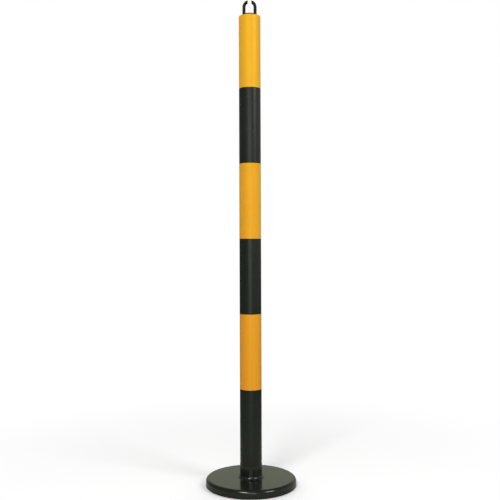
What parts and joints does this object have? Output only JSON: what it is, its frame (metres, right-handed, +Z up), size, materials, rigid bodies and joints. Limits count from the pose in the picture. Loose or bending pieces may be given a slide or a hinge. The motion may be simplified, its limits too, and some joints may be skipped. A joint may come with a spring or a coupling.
{
  "type": "plastic chain stanchion",
  "caption": "Free-standing plastic chain stanchion: round weighted base, striped pole of push-fit sections, and a split swivel hook on top that takes a barrier chain.",
  "frame": {"origin": "on the floor under the middle of the base", "axes": "+Z up along the pole, X across the hook's mouth, -Y towards the viewer of the picture"},
  "size_m": [0.158, 0.158, 0.8506],
  "materials": {
    "gloss_black_abs": "polished moulded ABS",
    "satin_black_plastic": "satin extruded plastic",
    "satin_yellow_plastic": "satin extruded plastic",
    "black_nylon": "moulded nylon",
    "matte_black_plastic": "textured moulded plastic",
    "ballast_steel": "bare pressed steel",
    "zinc_steel": "zinc plated",
    "foot_rubber": "matte rubber"
  },
  "bodies": {
    "base": {"base_cover": "gloss_black_abs", "ballast_plate": "ballast_steel", "bottom_plate": "matte_black_plastic", "bottom_screws": "zinc_steel", "rubber_feet": "foot_rubber"},
    "section_1": {"tube_1_black": "satin_black_plastic", "joiner_1": "black_nylon"},
    "section_2": {"tube_2_yellow": "satin_yellow_plastic", "joiner_2": "black_nylon"},
    "section_3": {"tube_3_black": "satin_black_plastic", "joiner_3": "black_nylon"},
    "section_4": {"tube_4_yellow": "satin_yellow_plastic", "joiner_4": "black_nylon"},
    "section_5": {"tube_5_black": "satin_black_plastic", "joiner_5": "black_nylon"},
    "section_6": {"tube_6_yellow": "satin_yellow_plastic", "top_plug": "black_nylon"},
    "hook": {"hook": "black_nylon"}
  },
  "joints": [
    {"name": "section_1_pull", "type": "slide", "parent": "base", "child": "section_1", "axis": [0, 0, 1], "range_m": [0, 0.03]},
    {"name": "section_2_pull", "type": "slide", "parent": "section_1", "child": "section_2", "axis": [0, 0, 1], "range_m": [0, 0.028]},
    {"name": "section_3_pull", "type": "slide", "parent": "section_2", "child": "section_3", "axis": [0, 0, 1], "range_m": [0, 0.028]},
    {"name": "section_4_pull", "type": "slide", "parent": "section_3", "child": "section_4", "axis": [0, 0, 1], "range_m": [0, 0.028]},
    {"name": "section_5_pull", "type": "slide", "parent": "section_4", "child": "section_5", "axis": [0, 0, 1], "range_m": [0, 0.028]},
    {"name": "section_6_pull", "type": "slide", "parent": "section_5", "child": "section_6", "axis": [0, 0, 1], "range_m": [0, 0.028]},
    {"name": "hook_swivel", "type": "hinge", "parent": "section_6", "child": "hook", "pos_m": [0, 0, 0.8215], "axis": [0, 0, 1], "continuous": true}
  ]
}
